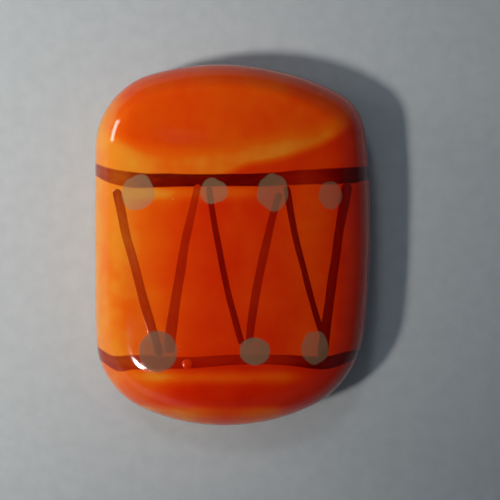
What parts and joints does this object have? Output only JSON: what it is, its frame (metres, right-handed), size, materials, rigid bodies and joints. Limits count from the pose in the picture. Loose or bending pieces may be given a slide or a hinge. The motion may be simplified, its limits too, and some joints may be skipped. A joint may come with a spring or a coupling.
{
  "type": "ceramic drum charm",
  "caption": "Glazed ceramic charm in the shape of a side drum, with a domed front, painted hoop lines, zig-zag lacing and dots, and a bare flat back.",
  "frame": {"origin": "middle of the bare flat back, in the plane that the charm rests on", "axes": "+Z out of the decorated front, +Y towards the drumhead, +X to the right as seen from the front"},
  "size_m": [0.0215, 0.028, 0.0081],
  "materials": {
    "bisque_clay": "matt bare bisque",
    "orange_glaze": "gloss orange-red glaze, paler where thin",
    "brown_brushwork": "gloss dark red-brown brush strokes",
    "grey_dots": "semi-gloss warm grey dots"
  },
  "bodies": {
    "root": {"clay_body": "bisque_clay", "orange_glaze": "orange_glaze", "upper_hoop_line": "brown_brushwork", "lower_hoop_line": "brown_brushwork", "lacing_stroke_1": "brown_brushwork", "lacing_stroke_2": "brown_brushwork", "lacing_stroke_3": "brown_brushwork", "lacing_stroke_4": "brown_brushwork", "lacing_stroke_5": "brown_brushwork", "lacing_stroke_6": "brown_brushwork", "upper_dot_1": "grey_dots", "upper_dot_2": "grey_dots", "upper_dot_3": "grey_dots", "upper_dot_4": "grey_dots", "lower_dot_1": "grey_dots", "lower_dot_2": "grey_dots", "lower_dot_3": "grey_dots", "glaze_bead": "orange_glaze"}
  },
  "joints": []
}
